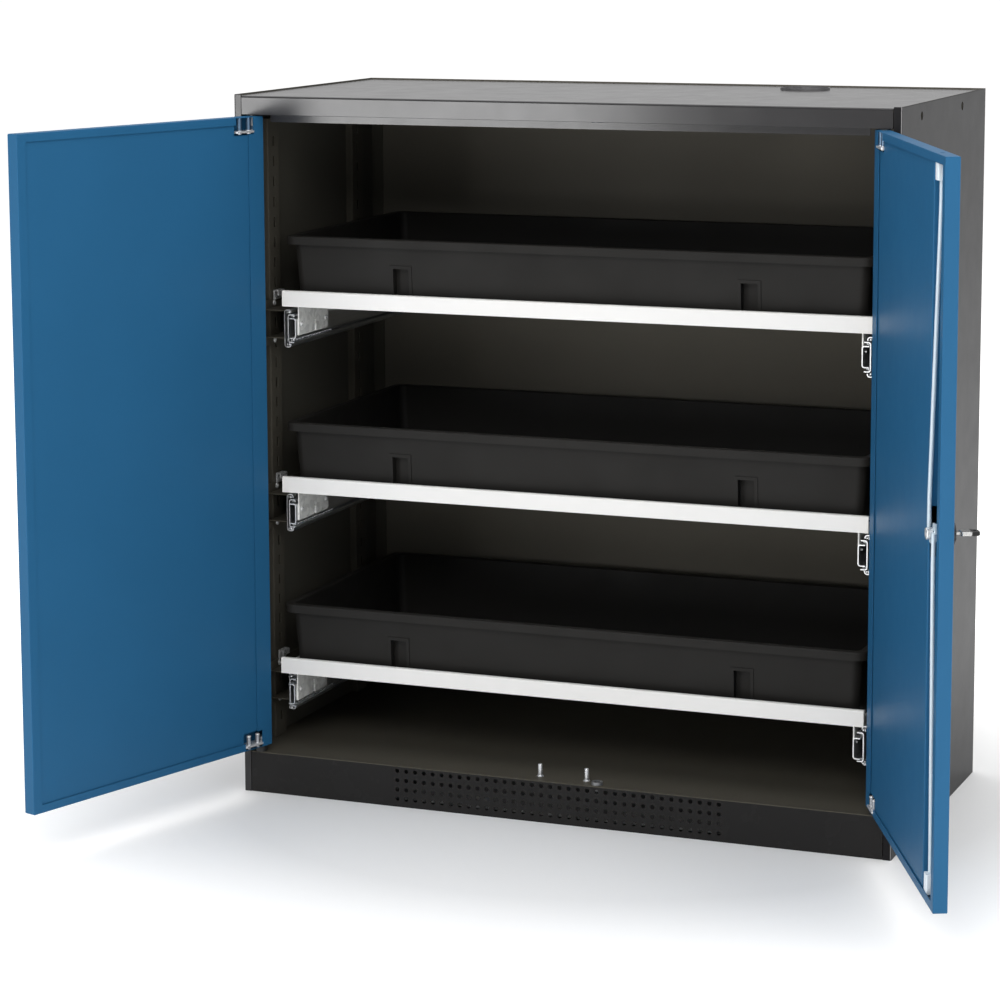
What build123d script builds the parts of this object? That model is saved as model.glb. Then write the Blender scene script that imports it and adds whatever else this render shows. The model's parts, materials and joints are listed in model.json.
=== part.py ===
from build123d import *
import math
import os

os.makedirs("parts", exist_ok=True)

# ---------------------------------------------------------------------------
# Chemical storage cabinet: folded sheet-steel carcass on a perforated plinth,
# two inset pivot-hung doors, three pull-out shelves with lift-out spill trays.
# Millimetres, +X right, +Z up, front faces -Y.  All drawing below uses y = 0 at
# the front face and y = D at the back; the whole is moved by -D/2 on export so
# that the origin is the centre of the footprint on the floor.
# ---------------------------------------------------------------------------

# overall
W, D, H = 1055.0, 520.0, 1105.0
T = 1.5                      # carcass sheet
R_BEND = 1.2                 # inside bend radius of the carcass sheet

# carcass front frame
FLANGE = 12.0                # width of the side panels' front flange
RETURN = 20.0                # depth of its return
SEAM = 1.0                   # open seam beside the flanges and around the top
TOP_Z = H - 2.0              # the top sheet lies this much below the rim of the carcass
RAIL_BOTTOM = 1074.0         # underside of the top front rail
LIP_BOTTOM = 1062.0          # underside of the door stop lip behind the rail
LIP_X = 476.0                # the stop lip ends clear of the hinges
FLOOR = 66.0                 # top of the floor panel
LEDGE = 45.0                 # depth of the plinth's top return
BASE_W, BASE_T = 30.0, 3.0   # flat base ring

# plinth perforation
HOLE_D, PITCH = 6.5, 15.0
HOLE_COLS, HOLE_ROWS, HOLE_Z0 = 36, 4, 13.0
TOE = 2.0                    # the plinth sheet stops this far above the floor

# side linking holes and exhaust port
LINK_D, LINK_Y, LINK_Z = 13.0, (115.0, 365.0), 1086.0
PORT_X, PORT_Y, PORT_R, PORT_WALL = 257.0, 440.0, 37.5, 1.5
PORT_UP, PORT_DOWN = 3.0, 20.0

# doors
DOOR_X0 = 512.5              # hinge edge of the closed door, from the middle
DOOR_X1 = 1.5                # free edge of the closed door
DOOR_T = 20.0
DOOR_Z0, DOOR_Z1 = 76.0, 1072.0
DT = 1.2                     # door sheet
LIP_HINGE, LIP_FREE, LIP_TB = 33.0, 16.0, 12.0
AXIS_S, AXIS_N = 12.0, 8.0   # pivot axis from the hinge edge and the outer face
LINER_N, LINER_S0 = 17.8, 24.0           # face and hinge-side edge of the door liners
LINER_END = {"left": 504.0, "right": 428.0}
LEFT_OPEN, RIGHT_OPEN = 107.0, 115.0     # degrees open as drawn
PIN_R = 4.0
BUSH_GAP = 0.05

# lock in the right-hand door
CAM_S, CAM_Z = 452.0, 574.0
ROD_S, ROD_N, ROD_R = 448.0, 11.5, 3.0
ROD_TRAVEL = 16.0
CAM_N = 11.4                 # back face of the cam plate
CAM_PIN = ROD_TRAVEL / 2     # the cam pins sit this far to the side and up or down
ROD_TIP_TOP, ROD_TIP_BOTTOM = 1071.0, 77.0

# pull-out shelves: underside of the front bar, and how far each stands out
SHELF_Z = {"upper": 772.0, "middle": 478.0, "lower": 189.0}
SHELF_OUT = {"upper": 0.0, "middle": 8.0, "lower": 21.0}
BAR_H, BAR_X, BAR_Y = 25.0, 475.0, 52.0
PAN_X, PAN_Y1 = 473.0, 508.0
TRAY_H = 108.3
TRAY_X, TRAY_Y0, TRAY_Y1 = 475.0, 60.0, 505.0
TRAY_T = 3.0
RIM_W, RIM_H, TAPER = 10.0, 13.0, 7.0
NOTCH_X, NOTCH_W, NOTCH_H, NOTCH_DEEP = 281.0, 26.0, 62.0, 10.0
NOTCH_RIM = 1.4              # raised border around each pocket

# telescopic slides
SLIDE_X = 476.5              # face of the support that carries the slide
SLIDE_Y0, SLIDE_Y1 = 62.0, 512.0
CARRIER_Y = ((70.0, 178.0), (400.0, 508.0))
SLIDE_MID = -36.0            # middle of the slide below the bar's underside
UPRIGHT_X0, UPRIGHT_X1 = 526.0, 514.0
UPRIGHT_Y = ((90.0, 130.0), (410.0, 450.0))


# ---------------------------------------------------------------------------
# helpers
# ---------------------------------------------------------------------------
def box(x0, x1, y0, y1, z0, z1):
    x0, x1 = min(x0, x1), max(x0, x1)
    y0, y1 = min(y0, y1), max(y0, y1)
    z0, z1 = min(z0, z1), max(z0, z1)
    return Solid.make_box(x1 - x0, y1 - y0, z1 - z0).moved(Location((x0, y0, z0)))


def cyl(x, y, z, r, h, axis="z"):
    d = {"x": (1, 0, 0), "y": (0, 1, 0), "z": (0, 0, 1)}[axis]
    return Solid.make_cylinder(r, h, Plane(origin=(x, y, z), z_dir=d))


def put(axis, a, u, v):
    return {"x": (a, u, v), "y": (u, a, v), "z": (u, v, a)}[axis]


def rounded_face(pts, radii, axis, a):
    """A flat face from a closed polygon with a radius at each corner."""
    n = len(pts)
    spots = []
    for i in range(n):
        p, q, s = pts[i - 1], pts[i], pts[(i + 1) % n]
        r = radii[i]
        if r <= 0:
            spots.append((q, None, q))
            continue
        d1 = (p[0] - q[0], p[1] - q[1])
        d2 = (s[0] - q[0], s[1] - q[1])
        l1, l2 = math.hypot(*d1), math.hypot(*d2)
        d1 = (d1[0] / l1, d1[1] / l1)
        d2 = (d2[0] / l2, d2[1] / l2)
        cosa = max(-1.0, min(1.0, d1[0] * d2[0] + d1[1] * d2[1]))
        half = math.acos(cosa) / 2
        t = r / math.tan(half)
        b = (d1[0] + d2[0], d1[1] + d2[1])
        lb = math.hypot(*b)
        b = (b[0] / lb, b[1] / lb)
        c = r / math.sin(half)
        mid = (q[0] + b[0] * (c - r), q[1] + b[1] * (c - r))
        spots.append(((q[0] + d1[0] * t, q[1] + d1[1] * t), mid,
                      (q[0] + d2[0] * t, q[1] + d2[1] * t)))
    edges = []
    for i in range(n):
        start, mid, end = spots[i]
        if mid is not None:
            edges.append(Edge.make_three_point_arc(
                put(axis, a, *start), put(axis, a, *mid), put(axis, a, *end)))
        nxt = spots[(i + 1) % n][0]
        if math.hypot(nxt[0] - end[0], nxt[1] - end[1]) > 1e-6:
            edges.append(Edge.make_line(put(axis, a, *end), put(axis, a, *nxt)))
    return Face(Wire(edges))


def extruded(pts, radii, axis, a0, a1):
    face = rounded_face(pts, radii, axis, a0)
    return Solid.extrude(face, Vector(*put(axis, a1 - a0, 0, 0)))


def bent(path, t, r, axis, a0, a1):
    """A bent sheet: path is one face of the sheet, the thickness lies to its left."""
    n = len(path)
    dirs = []
    for i in range(n - 1):
        dx, dy = path[i + 1][0] - path[i][0], path[i + 1][1] - path[i][1]
        l = math.hypot(dx, dy)
        dirs.append((dx / l, dy / l))
    off, r_path, r_off = [], [], []
    for i in range(n):
        if i == 0 or i == n - 1:
            d = dirs[0] if i == 0 else dirs[-1]
            off.append((path[i][0] - d[1] * t, path[i][1] + d[0] * t))
            r_path.append(0.0)
            r_off.append(0.0)
            continue
        a, b = dirs[i - 1], dirs[i]
        cross = a[0] * b[1] - a[1] * b[0]
        na, nb = (-a[1], a[0]), (-b[1], b[0])
        m = (na[0] + nb[0], na[1] + nb[1])
        k = t * 2 / (m[0] ** 2 + m[1] ** 2)
        off.append((path[i][0] + m[0] * k, path[i][1] + m[1] * k))
        r_path.append(r + t if cross > 0 else r)
        r_off.append(r if cross > 0 else r + t)
    return extruded(list(path) + off[::-1], r_path + r_off[::-1], axis, a0, a1)


def ring_face(x, y0, y1, z, r):
    return rounded_face([(-x, y0), (x, y0), (x, y1), (-x, y1)], [r] * 4, "z", z)


def slab(x, y0, y1, r, z0, z1):
    return Solid.extrude(ring_face(x, y0, y1, z0, r), Vector(0, 0, z1 - z0))


def fuse(parts):
    out = parts[0]
    for p in parts[1:]:
        out = out.fuse(p)
    return out.clean()


def cut(body, tools):
    for t in tools:
        body = body.cut(t)
    return body


def solids(shape):
    return list(shape.solids())


def mirrored(shape):
    return shape.mirror(Plane.YZ)


def group(parts):
    flat = []
    for p in parts:
        flat += solids(p)
    return flat[0] if len(flat) == 1 else Compound(flat)


def dome_screw(x, y, z, axis, head_r, head_h, shank_r, shank_l):
    """A pan-head screw: the head points along the axis from (x, y, z), the shank runs back."""
    pts = [(0.0, -shank_l), (shank_r, -shank_l), (shank_r, 0.0), (head_r, 0.0),
           (head_r, head_h), (0.0, head_h)]
    face = rounded_face(pts, [0, 0.3, 0, 0, head_h * 0.7, 0], "y", 0.0)
    s = Solid.revolve(face, 360.0, Axis.Z)
    s = s.cut(cyl(0, 0, head_h * 0.45, head_r * 0.42, head_h))
    turn = {"+x": (0, 90, 0), "-x": (0, -90, 0), "+y": (-90, 0, 0), "-y": (90, 0, 0),
            "+z": (0, 0, 0), "-z": (180, 0, 0)}[axis]
    return s.moved(Location((x, y, z), turn))


NODES = {}

# ---------------------------------------------------------------------------
# carcass
# ---------------------------------------------------------------------------
XO, XI = W / 2, W / 2 - T                    # outside and inside of the side sheets
YB = D - T                                   # inside face of the back sheet


def side_panel():
    # left-hand panel: outer sheet, front flange with its return, rear flange
    web = bent([(-XO + FLANGE, 0.0), (-XO, 0.0), (-XO, YB)][::-1], T, R_BEND, "z", 0.0, H)
    web = web.fillet(1.2, [e for e in web.edges().filter_by(Axis.Y)
                           if abs(e.center().X + XO) < 0.01 and abs(e.center().Z - H) < 0.01])
    ret = box(-XO + FLANGE - T, -XO + FLANGE, T, RETURN + T, FLOOR, TOP_Z - T)
    rear = box(-XI, -XI + 20.0, YB - T, YB, FLOOR, TOP_Z - T)
    body = fuse([web, ret, rear])
    return cut(body, [cyl(-XO - 5, y, LINK_Z, LINK_D / 2, 10, "x") for y in LINK_Y])


NODES["left_side_panel"] = side_panel()
NODES["right_side_panel"] = mirrored(side_panel())
back = box(-XO, XO, YB, D, 0.0, H)
back = back.fillet(1.2, [e for e in back.edges() if abs(e.center().Y - D) < 0.01 and e.center().Z > 1.0])
NODES["back_panel"] = back



def sheet(z0, z1):
    """A flat sheet inside the side panels, its front corners rounded to clear their bends."""
    r = R_BEND + 0.2
    return extruded([(-XI, T), (XI, T), (XI, YB), (-XI, YB)], [r, r, 0, 0], "z", z0, z1)


RX = XO - FLANGE - SEAM                       # rail and plinth run between the flanges
XT, YT = XI - SEAM, YB - SEAM                 # edges of the top sheet
top = fuse([
    extruded([(-XT, T + 0.6), (XT, T + 0.6), (XT, YT), (-XT, YT)], [2.0, 2.0, 0.6, 0.6], "z", TOP_Z - T, TOP_Z),
    bent([(60.0, TOP_Z), (0.0, TOP_Z), (0.0, RAIL_BOTTOM)], T, 1.5, "x", -RX, RX),
    box(-XT, -XT + T, RETURN + 10, YB - 5, TOP_Z - T - 10, TOP_Z - T),
    box(XT - T, XT, RETURN + 10, YB - 5, TOP_Z - T - 10, TOP_Z - T),
])
top = cut(top, [cyl(PORT_X, PORT_Y, H - 10, PORT_R + PORT_WALL, 20)])
top = top.fillet(0.5, [e for e in top.edges().filter_by(Axis.X)
                       if e.center().Y < 0.01 and abs(e.center().Z - RAIL_BOTTOM) < 0.01])
NODES["top_panel"] = top

# angle behind the top's front fold, with the set-back lip that the doors close against
LIP_Y = 24.0
rail = fuse([
    box(-RX, RX, T, 2 * T, RAIL_BOTTOM, H - 8.0),
    box(-RX, RX, T, LIP_Y, RAIL_BOTTOM, RAIL_BOTTOM + T),
    box(-LIP_X, LIP_X, LIP_Y - T, LIP_Y, LIP_BOTTOM, RAIL_BOTTOM + T),
])
AX = DOOR_X0 - AXIS_S                         # hinge axis, from the middle
AY = AXIS_N
ROD_X = DOOR_X0 - ROD_S                       # closed position of the lock rods
BUSH_R = 6.0
KEEP_R = 7.0
rail = cut(rail, [
    cyl(-AX, AY, RAIL_BOTTOM - 5, BUSH_R, 12),
    cyl(AX, AY, RAIL_BOTTOM - 5, BUSH_R, 12),
    cyl(ROD_X, ROD_N, RAIL_BOTTOM - 5, KEEP_R, 12),
])
NODES["top_front_rail"] = rail

floor = fuse([sheet(FLOOR - T, FLOOR), box(-RX, RX, 0.0, T + 2.0, FLOOR - T, FLOOR)])
stops = [(-33.0, 24.5), (43.0, 24.5)]
STOP_R = 3.5
floor_holes = [cyl(-AX, AY, FLOOR - 8, BUSH_R, 12), cyl(AX, AY, FLOOR - 8, BUSH_R, 12),
               cyl(ROD_X, ROD_N, FLOOR - 8, KEEP_R, 12)]
floor_holes += [cyl(x, y, FLOOR - 8, 3.0, 12) for x, y in stops]
floor = cut(floor, floor_holes)
floor_front = [e for e in floor.edges().filter_by(Axis.X)
               if e.center().Y < 0.01 and e.center().Z > FLOOR - 0.1 and e.length > 900]
NODES["floor_panel"] = floor.fillet(0.9, floor_front)

ZP = FLOOR - T                                # top of the plinth sheet
hx0 = -(HOLE_COLS - 1) * PITCH / 2
outer = Wire.make_polygon([(-RX, 0, TOE), (RX, 0, TOE), (RX, 0, ZP), (-RX, 0, ZP)], close=True)
holes = [Wire.make_circle(HOLE_D / 2, Plane(origin=(hx0 + i * PITCH, 0, HOLE_Z0 + j * PITCH), z_dir=(0, 1, 0)))
         for i in range(HOLE_COLS) for j in range(HOLE_ROWS)]
plinth_face = Face(outer, holes)
plinth = Solid.extrude(plinth_face, Vector(0, T, 0))
plinth = fuse([plinth, box(-RX, RX, T, LEDGE, ZP - T, ZP)])
NODES["plinth_front"] = cut(plinth, floor_holes)

ring = sheet(0.0, BASE_T)
NODES["base_frame"] = cut(ring, [box(-XI + BASE_W, XI - BASE_W, T + BASE_W, YB - BASE_W, -1, BASE_T + 1)])

port = cyl(PORT_X, PORT_Y, TOP_Z - PORT_DOWN, PORT_R + PORT_WALL, PORT_DOWN + PORT_UP)
port = fuse([port, cyl(PORT_X, PORT_Y, TOP_Z - T - 2.0, PORT_R + 14, 2.0)])
port = cut(port, [cyl(PORT_X, PORT_Y, TOP_Z - PORT_DOWN - 1, PORT_R, PORT_DOWN + PORT_UP + 2)])
NODES["exhaust_collar"] = port


def upright(y0, y1):
    # slotted channel on the left-hand side sheet, open towards the sheet
    w = [(-UPRIGHT_X0, y0), (-UPRIGHT_X1, y0), (-UPRIGHT_X1, y1), (-UPRIGHT_X0, y1)]
    body = bent(w, T, 0.8, "z", FLOOR, LIP_BOTTOM)
    ym = (y0 + y1) / 2
    face_cut = []
    z = 98.0
    while z < LIP_BOTTOM - 20:
        face_cut.append(box(-UPRIGHT_X1 - 3, -UPRIGHT_X1 + 3, ym - 3.0, ym + 3.0, z - 8, z + 8))
        z += 32.0
    return cut(body, face_cut)


left_up = [upright(*y) for y in UPRIGHT_Y]


def support(zb):
    # hat-section rail carrier between the uprights and one slide, left-hand side
    z0, z1 = zb - 53.5, zb - 8.5
    x_up, x_sl = -UPRIGHT_X1, -SLIDE_X
    path = [(x_up + T, z0 - 14), (x_up + T, z0), (x_sl, z0), (x_sl, z1), (x_up + T, z1), (x_up + T, z1 + 14)]
    body = bent(path, T, 0.8, "y", 70.0, 500.0)
    tools = [cyl(x_sl - 5, y, zb + SLIDE_MID, 2.5, 10, "x") for y in SLIDE_SCREW_Y]
    tools += [cyl(x_up - 5, y, z, 2.5, 12, "x") for y in SUPPORT_SCREW_Y for z in (z0 - 7, z1 + 7)]
    return cut(body, tools)


SLIDE_SCREW_Y = (95.0, 290.0, 480.0)
SUPPORT_SCREW_Y = (101.0, 439.0)
supports, support_screws, slide_screws = [], [], []
for zb in SHELF_Z.values():
    s = support(zb)
    supports += [s, mirrored(s)]
    for y in SUPPORT_SCREW_Y:
        for z in (zb - 53.5 - 7, zb - 8.5 + 7):
            k = dome_screw(-UPRIGHT_X1 + T, y, z, "+x", 4.5, 2.2, 2.4, 6.0)
            support_screws += [k, mirrored(k)]
    for y in SLIDE_SCREW_Y:
        k = dome_screw(-SLIDE_X + 1.6, y, zb + SLIDE_MID, "+x", 4.2, 1.8, 2.4, 6.0)
        slide_screws += [k, mirrored(k)]
# screw clearance holes through the uprights' faces
up_tools = [cyl(-UPRIGHT_X1 - 5, y, z, 2.5, 10, "x") for zb in SHELF_Z.values()
            for y in SUPPORT_SCREW_Y for z in (zb - 53.5 - 7, zb - 8.5 + 7)]
left_up = [cut(u, up_tools) for u in left_up]
NODES["left_slide_uprights"] = group(left_up)
NODES["right_slide_uprights"] = group([mirrored(u) for u in left_up])
NODES["slide_supports"] = group(supports)
NODES["support_screws"] = group(support_screws)
NODES["slide_screws"] = group(slide_screws)

stop_pins = []
for x, y in stops:
    pts = [(0, FLOOR - 4), (2.9, FLOOR - 4), (2.9, FLOOR), (5.5, FLOOR), (5.5, FLOOR + 1.6),
           (STOP_R, FLOOR + 1.6), (STOP_R, FLOOR + 20), (0, FLOOR + 20)]
    f = rounded_face(pts, [0, 0.3, 0, 0, 0.6, 0.4, 1.6, 0], "y", 0.0)
    stop_pins.append(Solid.revolve(f, 360.0, Axis.Z).moved(Location((x, y, 0))))
NODES["door_stop_pins"] = group(stop_pins)


def tube(x, y, pts, radii=None):
    f = rounded_face(pts, radii or [0] * len(pts), "y", 0.0)
    return Solid.revolve(f, 360.0, Axis.Z).moved(Location((x, y, 0)))


br = PIN_R + BUSH_GAP
top_bush = [(br, 1072.6), (9.0, 1072.6), (9.0, RAIL_BOTTOM), (BUSH_R, RAIL_BOTTOM), (BUSH_R, 1080.0), (br, 1080.0)]
low_bush = [(br, 60.0), (BUSH_R, 60.0), (BUSH_R, FLOOR), (9.0, FLOOR), (9.0, 75.6), (br, 75.6)]
NODES["pivot_bushes"] = group([tube(sx * AX, AY, p) for sx in (-1, 1) for p in (top_bush, low_bush)])

kr = ROD_R + 2.0
top_keep = [(kr, 1073.0), (8.6, 1073.0), (8.6, RAIL_BOTTOM), (KEEP_R, RAIL_BOTTOM), (KEEP_R, 1083.0), (kr, 1083.0)]
low_keep = [(kr, 56.0), (KEEP_R, 56.0), (KEEP_R, FLOOR), (8.6, FLOOR), (8.6, FLOOR + 5.0), (kr, FLOOR + 5.0)]
NODES["rod_keepers"] = group([tube(ROD_X, ROD_N, top_keep), tube(ROD_X, ROD_N, low_keep)])


# ---------------------------------------------------------------------------
# doors, drawn closed and then swung open about their pivots
# ---------------------------------------------------------------------------
def door_pan(right):
    """The left-hand pan; the right-hand one is its mirror image with lock holes."""
    x0, x1 = -DOOR_X0, -DOOR_X1
    body = box(x0, x1, 0, DOOR_T, DOOR_Z0, DOOR_Z1)
    corner = [e for e in body.edges().filter_by(Axis.Y)]
    body = body.fillet(2.0, corner)
    face_edges = [e for e in body.edges() if abs(e.center().Y) < 1e-4]
    body = body.fillet(1.6, face_edges)
    back_edges = [e for e in body.edges() if abs(e.center().Y - DOOR_T) < 1e-4]
    body = body.fillet(1.0, back_edges)
    cavity = box(x0 + DT, x1 - DT, DT, DOOR_T - DT, DOOR_Z0 + DT, DOOR_Z1 - DT)
    window = box(x0 + LIP_HINGE, x1 - LIP_FREE, DOOR_T - 3, DOOR_T + 3,
                 DOOR_Z0 + LIP_TB, DOOR_Z1 - LIP_TB)
    window = window.fillet(3.0, [e for e in window.edges().filter_by(Axis.Y)])
    tools = [cavity, window]
    # the lips are notched for the hinge brackets
    for z0, z1 in ((DOOR_Z1 - 27.0, DOOR_Z1 - DT), (DOOR_Z0 + DT, DOOR_Z0 + 27.0)):
        tools.append(box(x0 + 22.0, x0 + 61.0, DOOR_T - DT - 0.01, DOOR_T + 2, z0, z1))
    px, py = x0 + AXIS_S, AXIS_N
    tools.append(cyl(px, py, DOOR_Z0 - 5, PIN_R + 0.3, 12))
    tools.append(cyl(px, py, DOOR_Z1 - 7, PIN_R + 0.3, 12))
    if right:
        rx = x0 + ROD_S
        tools.append(cyl(rx, ROD_N, DOOR_Z0 - 5, ROD_R + 0.6, 12))
        tools.append(cyl(rx, ROD_N, DOOR_Z1 - 7, ROD_R + 0.6, 12))
        tools.append(cyl(x0 + CAM_S, -5, CAM_Z, 11.0, 12, "y"))
    return cut(body, tools)


def door_liner(side):
    """Folded inner sheet of a door, drawn as for the left-hand one, notched at the hinges."""
    x0 = -DOOR_X0
    a, b = x0 + LINER_S0, x0 + LINER_END[side]
    z0, z1 = DOOR_Z0 + 4.0, DOOR_Z1 - 4.0
    body = bent([(b, DT), (b, LINER_N), (a, LINER_N), (a, DT)], DT, 0.8, "z", z0, z1)
    ends = [box(a + 2.0, b - 2.0, DT, LINER_N - 0.5, z, z + DT) for z in (z0, z1 - DT)]
    body = fuse([body] + ends)
    tools = [box(a - 1, x0 + 63.0, -1, 30, DOOR_Z1 - 28.0, DOOR_Z1),
             box(a - 1, x0 + 63.0, -1, 30, DOOR_Z0, DOOR_Z0 + 28.0)]
    if side == "right":
        # two slots beside the cam in the fold along the rod channel
        for zs in ((CAM_Z + 7.0, CAM_Z + 32.0), (CAM_Z - 37.0, CAM_Z - 17.0)):
            tools.append(extruded([(6.5, zs[0]), (15.0, zs[0]), (15.0, zs[1]), (6.5, zs[1])],
                                  [2.0] * 4, "x", b - 6.0, b + 4.0))
    return cut(body, tools)


def hinge_bracket(top):
    """Flat bar with two posts in a hinge corner, with its pin and screws, left-hand door."""
    x0 = -DOOR_X0
    if top:
        zb0, zb1 = 1047.5, 1050.5
        post = (zb0, DOOR_Z1 - DT)
        pin = (zb0, 1079.0)
    else:
        zb0, zb1 = 81.0, 84.0
        post = (DOOR_Z0 + DT, 97.0)
        pin = (61.5, 90.0)
    bar = box(x0 + 3.0, x0 + 60.4, 2.6, 22.0, zb0, zb1)
    bar = bar.fillet(3.0, [e for e in bar.edges().filter_by(Axis.Z) if e.center().X > x0 + 60])
    # behind the hinge-side lip the bar stays inside the pan
    bar = cut(bar, [box(x0 - 1, x0 + 22.6, DOOR_T - DT - 0.1, 30, zb0 - 1, zb1 + 1)])
    boss = cyl(x0 + AXIS_S, AXIS_N, zb1, 6.5, 6.0)
    sx = [x0 + 30.0, x0 + 50.0]
    posts = [cyl(x, 16.2, post[0], 3.4, post[1] - post[0]) for x in sx]
    body = fuse([bar, boss] + posts)
    p = cyl(x0 + AXIS_S, AXIS_N, pin[0], PIN_R, pin[1] - pin[0])
    p = p.chamfer(0.6, None, [e for e in p.edges().filter_by(GeomType.CIRCLE)])
    if top:
        screws = [dome_screw(x, 16.2, zb0, "-z", 3.8, 2.2, 1.9, 12.0) for x in sx]
        holes = [cyl(x, 16.2, zb0 - 1, 1.9, 13.0) for x in sx]
    else:
        screws = [dome_screw(x, 16.2, post[1], "+z", 3.8, 2.2, 1.9, 12.0) for x in sx]
        holes = [cyl(x, 16.2, post[1] - 12.0, 1.9, 14.0) for x in sx]
    body = cut(body, [cyl(x0 + AXIS_S, AXIS_N, pin[0] - 1, PIN_R, pin[1] - pin[0] + 2)] + holes)
    return body, p, screws


def swing(shape, side):
    if side == "left":
        return shape.rotate(Axis((-AX, AY, 0), (0, 0, 1)), -LEFT_OPEN)
    return shape.rotate(Axis((AX, AY, 0), (0, 0, 1)), RIGHT_OPEN)


bt, pt, st = hinge_bracket(True)
bl, pl, sl = hinge_bracket(False)
NODES["left_door_panel"] = swing(door_pan(False), "left")
NODES["left_door_liner"] = swing(door_liner("left"), "left")
NODES["left_hinge_brackets"] = swing(group([bt, bl]), "left")
NODES["left_hinge_pins"] = swing(group([pt, pl]), "left")
NODES["left_hinge_screws"] = swing(group(st + sl), "left")

NODES["right_door_panel"] = swing(mirrored(door_pan(True)), "right")
NODES["right_door_liner"] = swing(mirrored(door_liner("right")), "right")
NODES["right_hinge_brackets"] = swing(mirrored(group([bt, bl])), "right")
NODES["right_hinge_pins"] = swing(mirrored(group([pt, pl])), "right")
NODES["right_hinge_screws"] = swing(mirrored(group(st + sl)), "right")

# lock of the right-hand door, drawn closed: x and z from the cam's centre
CX = DOOR_X0 - CAM_S
barrel = cyl(CX, -2.9, CAM_Z, 10.8, CAM_N + 0.5, "y")
barrel = cut(barrel, [cyl(CX, -5, CAM_Z, 6.05, 30, "y")])
NODES["lock_barrel"] = swing(barrel, "right")
hexa = [(CX + 17 * math.cos(math.radians(60 * i)), CAM_Z + 17 * math.sin(math.radians(60 * i))) for i in range(6)]
nut = extruded(hexa, [0.8] * 6, "y", DT, DT + 6.0)
nut = cut(nut, [cyl(CX, -5, CAM_Z, 10.8, 30, "y")])
NODES["lock_nut"] = swing(nut, "right")
rose = cyl(CX, -3.0, CAM_Z, 19.0, 3.0, "y")
rose = rose.fillet(1.4, [e for e in rose.edges().filter_by(GeomType.CIRCLE) if e.center().Y < -2.9])
rose = cut(rose, [cyl(CX, -5, CAM_Z, 10.8, 10, "y")])
NODES["lock_rose"] = swing(rose, "right")

# flat turn knob with a scalloped rim; its shaft runs in the barrel
KNOB_N = -12.0
knob = cyl(CX, KNOB_N, CAM_Z, 15.5, -3.2 - KNOB_N, "y")
knob = knob.fillet(1.6, [e for e in knob.edges().filter_by(GeomType.CIRCLE) if e.center().Y < KNOB_N + 0.1])
knob = cut(knob, [cyl(CX + 17.2 * math.cos(math.radians(45 * i + 22.5)), -20,
                      CAM_Z + 17.2 * math.sin(math.radians(45 * i + 22.5)), 3.2, 20, "y") for i in range(8)])
shaft = cyl(CX, -4.0, CAM_Z, 6.0, CAM_N + 4.0, "y")
knob = fuse([knob, shaft])
# square drive for the cam, and the bore for the lock plug
knob = fuse([knob, box(CX - 4, CX + 4, CAM_N - 0.4, CAM_N + 3.6, CAM_Z - 4, CAM_Z + 4)])
PLUG_R = 4.0
knob = cut(knob, [cyl(CX, -20, CAM_Z, PLUG_R + 0.05, 20.0, "y")])
NODES["turn_knob"] = swing(knob, "right")

cam_pts = [(-13.0, 9.5), (-9.5, 13.0), (-3.0, 13.0), (9.5, 2.0), (13.0, -3.0),
           (13.0, -9.5), (9.5, -13.0), (3.0, -13.0), (-9.5, -2.0), (-13.0, 3.0)]
cam = extruded([(CX + x, CAM_Z + z) for x, z in cam_pts], [2.0] * 10, "y", CAM_N, CAM_N + 3.0)
cam = fuse([cam] + [cyl(CX + s * CAM_PIN, CAM_N + 3.0, CAM_Z - s * CAM_PIN, 3.0, 3.6, "y") for s in (1, -1)])
cam = cut(cam, [box(CX - 4, CX + 4, CAM_N - 5.0, CAM_N + 10.0, CAM_Z - 4, CAM_Z + 4)])
NODES["lock_cam"] = swing(cam, "right")
# drum-headed bolt in front of the cam, with a socket in its face
DRUM_N = CAM_N + 6.8
drum = cyl(CX, DRUM_N, CAM_Z, 8.0, 8.0, "y")
drum = drum.fillet(1.4, [e for e in drum.edges().filter_by(GeomType.CIRCLE) if e.center().Y > DRUM_N + 7.9])
drum = cut(drum, [cyl(CX, DRUM_N + 3.0, CAM_Z, 3.2, 8.0, "y")])
NODES["cam_bolt"] = swing(fuse([cyl(CX, CAM_N + 3.6, CAM_Z, 2.2, 4.0, "y"), drum]), "right")

plug = cyl(CX, KNOB_N - 0.6, CAM_Z, PLUG_R, -0.2 - (KNOB_N - 0.6), "y")
plug = cut(plug, [box(CX - 2.6, CX + 2.6, -20, -3.0, CAM_Z - 0.75, CAM_Z + 0.75)])
NODES["lock_plug"] = swing(plug, "right")
blade = box(CX - 2.5, CX + 2.5, -20.0, -4.0, CAM_Z - 0.65, CAM_Z + 0.65)
neck = box(CX - 4.0, CX + 4.0, -20.0, KNOB_N - 1.6, CAM_Z - 1.6, CAM_Z + 1.6)
bow = extruded([(CX - 9, -45.0), (CX + 9, -45.0), (CX + 11, -34.0), (CX + 9, -19.0), (CX - 9, -19.0), (CX - 11, -34.0)],
               [5, 5, 4, 3, 3, 4], "z", CAM_Z - 2.75, CAM_Z + 2.75)
bow = bow.fillet(1.1, [e for e in bow.edges() if abs(abs(e.center().Z - CAM_Z) - 2.75) < 0.01])
bow = cut(bow, [cyl(CX, -39.0, CAM_Z - 5, 2.6, 10)])
NODES["key"] = swing(fuse([blade, neck, bow]), "right")


def rod(points, r):
    """A round rod along a bent line of points."""
    parts = []
    for i in range(len(points) - 1):
        a, b = Vector(*points[i]), Vector(*points[i + 1])
        d = b - a
        parts.append(Solid.make_cylinder(r, d.length, Plane(origin=a, z_dir=d.normalized())))
        if i:
            parts.append(Solid.make_sphere(r, Plane(origin=a)))
    return fuse(parts)


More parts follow.
